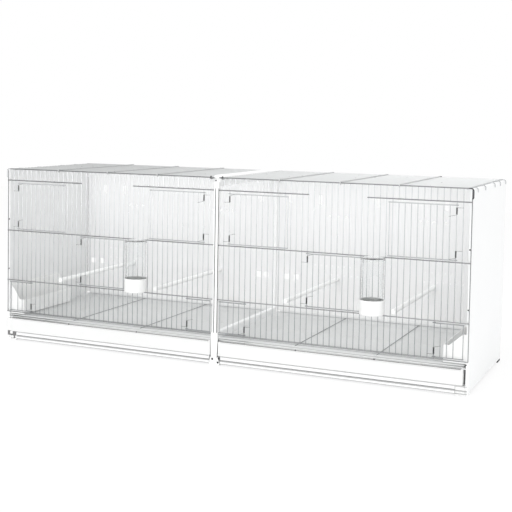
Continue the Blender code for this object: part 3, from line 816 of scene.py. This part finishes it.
roofWires = {
    "gaps": 27,
    "wireRadius": 0.0009,
    "crossRadius": 0.00125,
    "crossPlaces": {"left": (-0.158, -0.298, -0.4422), "right": (0.1594, 0.3056, 0.4405)},
    "innerEnd": 0.0075,
    "outerEnd": 0.5880,
    "borderInset": 0.0016,
    "wireZ": 0.4486,
    "crossZ": 0.4504,
    "slope": 0.012,
    "curl": 0.0031,
    "curlDegrees": 215,
}


def roofGrid(cabin):
    name, outward = cabin["name"], cabin["outward"]
    low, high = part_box(name + "_roof_grid")
    wire, rod = roofWires["wireRadius"], roofWires["crossRadius"]
    z, crossZ, slope = roofWires["wireZ"], roofWires["crossZ"], roofWires["slope"]
    inner, outer = outward * roofWires["innerEnd"], outward * roofWires["outerEnd"]
    y, step = low.y + wire, (high.y - low.y - 2 * wire) / roofWires["gaps"]
    parts = [wireRow((inner, y, z), (outer, y, z), wire, 8, roofWires["gaps"] + 1, (0, step, 0))]
    inset = outward * roofWires["borderInset"]
    for x in (inner + inset, outer - inset):
        parts.append(wireRow((x, low.y, z - 2 * wire), (x, high.y, z - 2 * wire), rod, 8))
    rodY, topZ = frontWires["rodY"], rodHeights["top"]
    for x in roofWires["crossPlaces"][name]:
        # each cross rod lies on the wires and curls down round the top rod of the front
        moves = (
            ("run", (0, rodY - high.y + slope, 0)),
            ("run", (0, -slope, topZ + roofWires["curl"] - crossZ)),
            ("turn", (x, rodY, topZ), (1, 0, 0), roofWires["curlDegrees"], 9),
        )
        parts.append(bentWire((x, high.y, crossZ), (0, -1, 0), rod, moves))
    handOver(joinUp(parts), name + "_roof_wires", roofChrome, "cage", "chrome_wire", name + "_roof_grid")


roofHooks = {"rows": (3, 9, 17, 22, 27), "run": 0.0075, "bend": 0.0060, "drop": 0.0050}


# Roof wires that hook over the outer edge of the end panel
def hooksOverPanel(cabin):
    outward = cabin["outward"]
    low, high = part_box(cabin["name"] + "_roof_grid")
    wire, z = roofWires["wireRadius"], roofWires["wireZ"]
    run, bend = roofHooks["run"], roofHooks["bend"]
    outer = outward * roofWires["outerEnd"]
    step = (high.y - low.y - 2 * wire) / roofWires["gaps"]
    hooks = []
    for row in roofHooks["rows"]:
        y = low.y + wire + row * step
        moves = (
            ("run", (outward * run, 0, 0)),
            ("turn", (outer + outward * run, y, z - bend), (0, 1, 0), outward * 90, 5),
            ("run", (0, 0, -roofHooks["drop"])),
        )
        hooks.append(bentWire((outer, y, z), (outward, 0, 0), wire, moves))
    handOver(joinUp(hooks), cabin["name"] + "_roof_hooks", doorChrome, "cage", "spring_steel")


roofTies = {
    "beadPlaces": {"left": (-0.1682, -0.3077, -0.4480), "right": (0.0102, 0.1564, 0.3015, 0.4424)},
    "bead": 0.0019,
    "stem": 0.0060,
    "lap": 0.001,
    "rise": 0.0006,
    "clip": {"x": 0.0150, "back": -0.1600, "degrees": 250},
}


# Beads on the rod ends at the back, and the clip that ties the roof to the front beside the post
def tiesOnRoof(cabin):
    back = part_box(cabin["name"] + "_roof_grid")[1].y
    bead, rod, clip = roofTies["bead"], roofWires["crossRadius"], roofTies["clip"]
    profile = (
        (-roofTies["stem"], rod), (0.0, rod), (bead * 0.3, bead * 0.8), (bead, bead), (bead * 1.7, bead * 0.8),
        (bead * 2, bead * 0.3),
    )
    ties = []
    for x in roofTies["beadPlaces"][cabin["name"]]:
        start = (x, back - roofTies["lap"], roofWires["wireZ"] + roofTies["rise"])
        ties.append(turnedPiece(start, (0, 1, 0), profile, 10))
    x, y, z = cabin["outward"] * clip["x"], frontWires["rodY"], rodHeights["top"]
    moves = (("run", (0, y - clip["back"], 0)), ("turn", (x, y, z), (-1, 0, 0), clip["degrees"], 9))
    start = (x, clip["back"], z - roofWires["curl"])
    ties.append(bentWire(start, (0, -1, 0), roofWires["wireRadius"], moves))
    handOver(joinUp(ties), cabin["name"] + "_roof_ties", springFinish, "cage", "spring_steel")


for cabin in cabins:
    roofGrid(cabin)
    hooksOverPanel(cabin)
    tiesOnRoof(cabin)
print("Roofs are on")


# The left trough slopes straight down from the panel and is narrower than the right one.
# Each row has the points' distance from the panel, their height, and how far they go toward it and up.
troughMoves = (
    ((0.0300, 0.0520), (0.0600, 0.1400), (0.0085, 0)),
    ((-0.0010, 0.0010), (0.1320, 0.1400), (0, 0.0140)),
    ((0.0010, 0.0025), (0.1320, 0.1400), (0, 0.0128)),
    ((0.0170, 0.0190), (0.1320, 0.1400), (0.0081, 0.0023)),
)
troughRound = 0.0007


def trough(cabin):
    node = cabin["name"] + "_seed_trough"
    piece = softened(node, 0)
    if cabin["outward"] < 0:
        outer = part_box(node)[0].x
        openEdit()
        for across, up, (inward, rise) in troughMoves:
            pickPoints(lambda place: across[0] < place.x - outer < across[1] and up[0] < place.z < up[1])
            bpy.ops.transform.translate(value=(-inward, 0, rise))
        closeEdit()
    roundEdges(troughRound, 2)
    handOver(piece, cabin["name"] + "_trough_shell", fittingWhite, "cage", "white_plastic", node)


# Rows of small vents in the back panels, as first x, last x, height and count
vents = {
    "left": ((-0.5150, -0.4820, 0.2050, 3), (-0.5150, -0.4770, 0.1785, 3)),
    "right": (
        (0.1130, 0.2100, 0.2020, 7), (0.1040, 0.2310, 0.1785, 8),
        (0.4085, 0.4760, 0.2045, 5), (0.4060, 0.5050, 0.1800, 7),
    ),
    "radius": 0.0013,
    "past": 0.001,
}


def ventPins(cabin):
    low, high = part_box(cabin["name"] + "_back_panel")
    front, back = low.y - vents["past"], high.y + vents["past"]
    pins = []
    for first, last, z, count in vents[cabin["name"]]:
        step = (last - first) / (count - 1)
        pins.append(wireRow((first, front, z), (first, back, z), vents["radius"], 8, count, (step, 0, 0)))
    return joinUp(pins)


rounding = {
    "end_panel": 0.0010, "back_base_rail": 0.0005, "front_base_rail": 0.0010, "back_panel": 0.0004,
    "corner_foot": 0.0015, "centre_frame": 0.0008, "centre_foot": 0.0012,
}
for cabin in cabins:
    name = cabin["name"]
    for part in ("end_panel", "back_base_rail", "front_base_rail"):
        piece = softened(name + "_" + part, rounding[part])
        handOver(piece, name + "_" + part + "_moulding", panelWhite, "cage", "panel_plastic", name + "_" + part)
    piece = cutOut(softened(name + "_back_panel", rounding["back_panel"]), ventPins(cabin))
    handOver(piece, name + "_back_sheet", backWhite, "cage", "panel_plastic", name + "_back_panel")
    for part, finish in (("front_foot", fittingWhite), ("rear_foot", footBlack)):
        piece = softened(name + "_" + part, rounding["corner_foot"])
        handOver(piece, name + "_" + part + "_block", finish, "cage", "dark_plastic", name + "_" + part)
    trough(cabin)
for node in ("centre_frame", "centre_base_rail"):
    piece = softened(node, rounding["centre_frame"])
    handOver(piece, node + "_moulding", frameWhite, "cage", "panel_plastic", node)
for node in ("centre_front_foot", "centre_rear_foot"):
    piece = softened(node, rounding["centre_foot"])
    handOver(piece, node + "_block", fittingWhite, "cage", "dark_plastic", node)
print("Mouldings are in place")


# A domed screw head that faces the front
def screwHead(x, y, z, radius, height):
    profile = ((0.0, radius), (height * 0.5, radius), (height * 0.9, radius * 0.72), (height, radius * 0.4))
    return turnedPiece((x, y, z), (0, -1, 0), profile, 16)


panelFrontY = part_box("left_end_panel")[0].y
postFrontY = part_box("centre_frame")[0].y
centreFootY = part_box("centre_front_foot")[0].y
# Each head's x, the face that it sits on, its height, radius and how far it stands out
screws = {
    "sunk": 0.0002,
    "heads": (
        (-0.5958, panelFrontY, 0.3170, 0.0017, 0.0010), (-0.5958, panelFrontY, 0.1870, 0.0017, 0.0010),
        (0.5958, panelFrontY, 0.3170, 0.0017, 0.0010), (0.5958, panelFrontY, 0.1870, 0.0017, 0.0010),
        (-0.0016, postFrontY, 0.4415, 0.0017, 0.0012), (0.5944, panelFrontY, 0.0680, 0.0015, 0.0012),
        (-0.0040, centreFootY, 0.0148, 0.0026, 0.0012), (0.0128, centreFootY, 0.0170, 0.0028, 0.0012),
        (0.0100, centreFootY, 0.0075, 0.0024, 0.0012),
    ),
}
heads = [screwHead(x, y + screws["sunk"], z, radius, height) for x, y, z, radius, height in screws["heads"]]
handOver(joinUp(heads), "screw_heads", footBlack, "cage", "dark_plastic")


# A small pillow-edged block, for plugs and caps
def plug(low, high, width):
    newBlock(low, high)
    return roundEdges(width, 3)


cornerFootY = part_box("left_front_foot")[0].y
# Blocks on the front of the left foot, each place as its left, low, right and high edge. The grey face blocks are
# painted shade of the opening in the foot; the white plugs are the foot's own
footBlocks = {
    "foot_plugs": {
        "finish": fittingWhite, "slot": "white_plastic", "proud": 0.0020, "deep": 0.0020, "round": 0.0008,
        "places": ((-0.5905, 0.0155, -0.5828, 0.0225), (-0.5872, 0.0050, -0.5800, 0.0108)),
    },
    "foot_face": {
        "finish": footGrey, "slot": "dark_plastic", "proud": 0.0010, "deep": 0.0030, "round": 0.0009,
        "places": ((-0.5992, 0.0112, -0.5728, 0.0250), (-0.5890, 0.0034, -0.5755, 0.0118)),
    },
}
for name, block in footBlocks.items():
    front, back = cornerFootY - block["proud"], cornerFootY + block["deep"]
    parts = [
        plug((left, front, low), (right, back, high), block["round"]) for left, low, right, high in block["places"]
    ]
    handOver(joinUp(parts), name, block["finish"], "cage", block["slot"])


# Cap on top of the post, the sleeve at its foot that is narrower below, and dark wires at the edges of the two
# fronts, which are painted shade of the grooves beside the post
postParts = {
    "cap": ((-0.0066, -0.1748, 0.4225), (0.0066, -0.1660, 0.4385)),
    "capRound": 0.0010,
    "sleeve": {"low": 0.0205, "high": 0.0790, "lowHalf": 0.0070, "highHalf": 0.0092},
    "sleeveProud": 0.0012,
    "sleeveDeep": 0.004,
    "sleeveRound": 0.0012,
    "edges": {"places": (-0.0018, 0.0062), "radius": 0.0009, "proud": 0.0004, "footLap": 0.002, "capLap": 0.001},
}
parts = [plug(*postParts["cap"], postParts["capRound"])]
sleeve, edge = postParts["sleeve"], postParts["edges"]
half = sleeve["highHalf"]
newBlock(
    (-half, postFrontY - postParts["sleeveProud"], sleeve["low"]),
    (half, postFrontY + postParts["sleeveDeep"], sleeve["high"]),
)
openEdit()
pickFaces(facing(-1))
bpy.ops.transform.resize(value=(sleeve["lowHalf"] / half, 1, 1), center_override=(0, 0, 0))
closeEdit()
parts.append(roundEdges(postParts["sleeveRound"], 3))
handOver(joinUp(parts), "post_cap_and_sleeve", fittingWhite, "cage", "white_plastic")
# near-black wires as painted shade of the grooves
y = postFrontY - edge["proud"]
low, high = sleeve["high"] - edge["footLap"], postParts["cap"][0][2] + edge["capLap"]
edges = [wireRow((x, y, low), (x, y, high), edge["radius"], 8) for x in edge["places"]]
handOver(joinUp(edges), "post_edge_wires", seamDark, "cage", "chrome_wire")

# Crowned strip over the joint of the two roofs
roofStrip = {
    "half": 0.0135, "front": -0.1640, "back": 0.2145, "low": 0.4448, "edge": 0.4515, "crown": 0.4545,
    "shoulder": 0.0060, "round": 0.0016,
}
half = roofStrip["half"]
newBlock((-half, roofStrip["front"], roofStrip["low"]), (half, roofStrip["back"], roofStrip["edge"]))
openEdit()
pickFaces(facing(1))
bpy.ops.mesh.inset(thickness=roofStrip["shoulder"], use_even_offset=True)
bpy.ops.transform.translate(value=(0, 0, roofStrip["crown"] - roofStrip["edge"]))
closeEdit()
handOver(roundEdges(roofStrip["round"], 3, 20), "roof_joint_strip", fittingWhite, "cage", "panel_plastic")


# Grey strips as painted shade in the groove and the joints of each base rail, as lowest, highest and foremost edge
railShadeStrips = {
    "groove": (0.0096, 0.0123, -0.0003, seamGrey),
    "foot": (0.0036, 0.0050, -0.0002, seamGrey),
    "joint": (0.0200, 0.0218, -0.0003, seamSoft),
}
railStrip = {"inset": 0.001, "rightEnd": 0.5975, "deep": 0.0042, "round": 0.0002}
for cabin in cabins:
    low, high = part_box(cabin["name"] + "_front_base_rail")
    near, back = low.x + railStrip["inset"], low.y + railStrip["deep"]
    far = high.x - railStrip["inset"] if cabin["outward"] < 0 else railStrip["rightEnd"]
    for label, (bottom, top, lead, finish) in railShadeStrips.items():
        strip = plug((near, low.y + lead, bottom), (far, back, top), railStrip["round"])
        handOver(strip, f"{cabin['name']}_rail_{label}_strip", finish, "cage", "dark_plastic")

# Wavy welt down the left back corner, in a grey that is painted shade of the corrugated corner edge
welt = {"place": (-0.5846, 0.2010, 0.125), "rise": 0.0095, "sway": 0.0022, "waves": 15, "radius": 0.0007}
moves = []
for wave in range(welt["waves"]):
    moves.append(("run", (0, welt["sway"], welt["rise"])))
    moves.append(("run", (0, -welt["sway"], welt["rise"])))
line = bentWire(welt["place"], (0, 0, 1), welt["radius"], moves, 8)
handOver(line, "left_corner_welt", seamSoft, "cage", "panel_plastic")
print("Screws and seams are in")


trayShape = {
    "wall": 0.0012, "corner": 0.005, "tight": 0.0026, "foot": 0.0014,
    "seam": (0.0001, 0.0012), "lip": (0.0012, 0.0048),
    "band": {"proud": 0.0002, "deep": 0.0008, "round": 0.0001},
    "plate": {"proud": 0.0006, "deep": 0.0010, "round": 0.0004, "rise": 0.0016, "lap": 0.0036},
    "plateReach": {"left": 0.0106, "right": 0.0016},
    "dots": {"left": (-0.4099, -0.2133), "right": (0.2053, 0.3918)},
    "dot": {"z": 0.0578, "radius": 0.0017, "height": 0.0012, "sunk": 0.0002},
}


def tray(cabin):
    name = cabin["name"] + "_tray"
    low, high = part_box(name)
    wall, corner, tight = trayShape["wall"], trayShape["corner"], trayShape["tight"]
    shell = newBlock(low, high)
    openEdit()
    middle = (low.x + high.x) / 2
    pickEdges(lambda one, other: abs(one.z - other.z) > 0.01 and one.x > middle)
    cutCorners(corner, 5)
    pickEdges(lambda one, other: abs(one.z - other.z) > 0.01 and max(one.x, other.x) < middle)
    cutCorners(tight, 3)
    pickFaces(facing(-1))
    cutCorners(trayShape["foot"], 3)
    pickFaces(facing(1))
    bpy.ops.mesh.inset(thickness=wall, use_even_offset=True)
    pull((0, 0, low.z + wall - high.z))
    closeEdit()
    handOver(shell, name + "_shell", trayWhite, name, "white_plastic", name)
    # painted shade: a dark strip for the shadow in the gap under the grate, and a paler grey strip for the shade
    # on the tray's lip below it
    band = trayShape["band"]
    for label, finish in (("seam", seamDark), ("lip", lipGrey)):
        top, bottom = trayShape[label]
        start = (low.x + tight, low.y - band["proud"], high.z - bottom)
        end = (high.x - corner, low.y + band["deep"], high.z - top)
        handOver(plug(start, end, band["round"]), f"{name}_{label}_band", finish, name, "grey_wire")
    # end of the front plate, over the gap beside the tray
    plate = trayShape["plate"]
    start = (low.x - trayShape["plateReach"][cabin["name"]], low.y - plate["proud"], low.z + plate["rise"])
    end = (low.x + plate["lap"], low.y + plate["deep"], high.z - trayShape["seam"][1])
    handOver(plug(start, end, plate["round"]), name + "_end_plate", trayWhite, name, "white_plastic")
    dot = trayShape["dot"]
    y = low.y + dot["sunk"]
    dots = [screwHead(x, y, dot["z"], dot["radius"], dot["height"]) for x in trayShape["dots"][cabin["name"]]]
    handOver(joinUp(dots), name + "_rim_dots", springFinish, name, "dark_plastic")


grateShape = {
    "wireRadius": 0.0005, "gaps": 54, "crossPitch": 0.0071,
    "rimRadius": 0.0010, "endRimRadius": 0.0010 * 0.8,
    "barRadius": 0.0009, "bars": (1 / 3, 2 / 3),
    "crossBarRadius": 0.0009 * 0.6, "crossBars": (0.035, 0.10, 0.992),
}


def grate(cabin):
    name = cabin["name"] + "_grate"
    low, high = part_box(name)
    rim, wire, bar = grateShape["rimRadius"], grateShape["wireRadius"], grateShape["barRadius"]
    meshZ, barZ = high.z - 2 * bar - wire, high.z - bar
    parts = []
    for x in (low.x + rim, high.x - rim):
        for z in (meshZ, low.z + rim):
            parts.append(wireRow((x, low.y, z), (x, high.y, z), rim, 8))
    for y in (low.y + rim, high.y - rim):
        for z in (meshZ, low.z + rim):
            parts.append(wireRow((low.x, y, z), (high.x, y, z), grateShape["endRimRadius"], 8))
    gaps = grateShape["gaps"]
    step = (high.y - low.y - 2 * rim) / gaps
    y = low.y + rim + step
    parts.append(wireRow((low.x, y, meshZ), (high.x, y, meshZ), wire, 4, gaps - 1, (0, step, 0)))
    gaps = round((high.x - low.x) / grateShape["crossPitch"])
    step = (high.x - low.x - 2 * rim) / gaps
    x, z = low.x + rim + step, meshZ - 2 * wire
    parts.append(wireRow((x, low.y, z), (x, high.y, z), wire, 4, gaps - 1, (step, 0, 0)))
    handOver(joinUp(parts), name + "_mesh", zinc, name, "grey_wire", name)
    bars = []
    for share in grateShape["bars"]:
        x = low.x + (high.x - low.x) * share
        bars.append(wireRow((x, low.y, barZ), (x, high.y, barZ), bar, 8))
    for share in grateShape["crossBars"]:
        y = low.y + (high.y - low.y) * share
        bars.append(wireRow((low.x, y, barZ), (high.x, y, barZ), grateShape["crossBarRadius"], 6))
    handOver(joinUp(bars), name + "_bars", doorChrome, name, "grey_wire")


for cabin in cabins:
    tray(cabin)
    grate(cabin)
print("Trays and grates slide in")


perchShape = {"radius": 0.0054, "capRadius": 0.0058, "capLength": 0.004}


def perch(cabin, number):
    name = f"{cabin['name']}_perch_{number}"
    low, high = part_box(name)
    start = ((low.x + high.x) / 2, low.y, (low.z + high.z) / 2)
    length = high.y - low.y
    cap, slim, depth = perchShape["capRadius"], perchShape["radius"], perchShape["capLength"]
    near = (
        (0.0, cap - 0.0018), (0.0004, cap - 0.0008), (0.0011, cap - 0.0002), (0.0018, cap), (depth - 0.0006, cap),
        (depth, slim + 0.0002), (depth + 0.0006, slim),
    )
    far = tuple((length - along, radius) for along, radius in near[::-1])
    piece = turnedPiece(start, (0, 1, 0), near + far, 24)
    handOver(piece, name + "_rod", perchWhite, "cage", "white_plastic", name)


cupShape = {
    "radius": 0.0282, "wall": 0.0015, "bottom": 0.1640, "height": 0.0335,
    "hookWire": {"left": 28.5, "right": 27.5}, "hookWidth": 0.007, "hookDrop": 0.009, "hookThickness": 0.0022,
    "hookRise": 0.0110, "hookBehind": 0.0013, "hookBefore": 0.0029, "hookSunk": 0.0008, "hookRound": 0.0006,
    "rodTop": 0.0016,
}


# The hook lies over the feeder rod, between two uprights, and rises up the back of the cup
def cupHook(cabin, x, y):
    hookX = wireX(cabin, cupShape["hookWire"][cabin["name"]])
    half, thick = cupShape["hookWidth"] / 2, cupShape["hookThickness"]
    rest = rodHeights["feeder"] + cupShape["rodTop"]
    rear = gridY + cupShape["hookBehind"]
    before = cupShape["hookBefore"]
    hook = newBlock((hookX - half, rear, rest - cupShape["hookDrop"]), (hookX + half, rear + thick, rest))
    openEdit()
    pickFaces(facing(1))
    pull((0, 0, thick))
    pickFaces(lambda middle, normal: normal.y < -0.9 and middle.z > rest)
    wallY = y + math.sqrt(cupShape["radius"] ** 2 - (abs(hookX - x) + half) ** 2) - cupShape["hookSunk"]
    pull((0, gridY - before - rear, 0))
    pull((0, wallY - gridY + before, 0))
    pickFaces(lambda middle, normal: normal.z > 0.9 and middle.y < gridY - before)
    pull((0, 0, cupShape["hookRise"]))
    closeEdit()
    roundEdges(cupShape["hookRound"], 2)
    return hook


def drinkerCup(cabin):
    name = cabin["name"] + "_drinker_cup"
    tubeLow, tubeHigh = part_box(cabin["name"] + "_drinker_tube")
    x, y = (tubeLow.x + tubeHigh.x) / 2, (tubeLow.y + tubeHigh.y) / 2
    rim, outer, wall = cupShape["height"], cupShape["radius"], cupShape["wall"]
    profile = (
        (0.0, outer - 0.0030), (0.0006, outer - 0.0016), (0.0020, outer - 0.0008), (rim - 0.0040, outer - 0.0003),
        (rim - 0.0036, outer), (rim - 0.0006, outer), (rim, outer - 0.0005), (rim, outer - wall + 0.0003),
        (rim - 0.0006, outer - wall), (0.0040, outer - wall - 0.0008), (0.0024, outer - wall - 0.0030),
        (0.0020, 0.0020),
    )
    cup = turnedPiece((x, y, cupShape["bottom"]), (0, 0, 1), profile, 40)
    handOver(joinUp([cup, cupHook(cabin, x, y)]), name + "_shell", cupWhite, "cage", "white_plastic", name)


tubeShape = {
    "radius": 0.0250, "wall": 0.0015, "cap": 0.0265, "capHeight": 0.006, "lift": 0.0022,
    "archWidth": 0.026, "archLow": 0.2000, "archTop": rodHeights["cabin"] - 0.0412, "archDepth": (0.004, 0.040),
}


def drinkerTube(cabin):
    name = cabin["name"] + "_drinker_tube"
    low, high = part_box(name)
    x, y = (low.x + high.x) / 2, (low.y + high.y) / 2
    bottom = cupShape["bottom"] + tubeShape["lift"]
    tall = high.z - bottom
    outer, cap, rim = tubeShape["radius"], tubeShape["cap"], tubeShape["capHeight"]
    inner = outer - tubeShape["wall"]
    profile = (
        (tall, cap - 0.0012), (tall - 0.0004, cap - 0.0004), (tall - 0.0012, cap), (tall - rim + 0.0006, cap),
        (tall - rim, cap - 0.0005), (tall - rim - 0.0002, outer), (0.0004, outer), (0.0, outer - 0.0004),
        (0.0, inner + 0.0004), (0.0004, inner), (tall - 0.0024, inner), (tall - 0.0028, inner - 0.0010),
        (tall - 0.0028, 0.0020),
    )
    tube = turnedPiece((x, y, bottom), (0, 0, 1), profile, 40)
    half, (front, back) = tubeShape["archWidth"] / 2, tubeShape["archDepth"]
    archLow, archTop = tubeShape["archLow"], tubeShape["archTop"]
    arch = newBlock((x - half, y + front, archLow), (x + half, y + back, archTop))
    openEdit()
    pickEdges(lambda one, other: min(one.z, other.z) > archTop - 0.001 and abs(one.y - other.y) > 0.01)
    cutCorners(half * 0.98, 9)
    closeEdit()
    handOver(cutOut(tube, arch), name + "_shell", tubeClear, name, "clear_plastic", name)


for cabin in cabins:
    for number in (1, 2):
        perch(cabin, number)
    drinkerCup(cabin)
    drinkerTube(cabin)
print("Perches and drinkers are fitted")
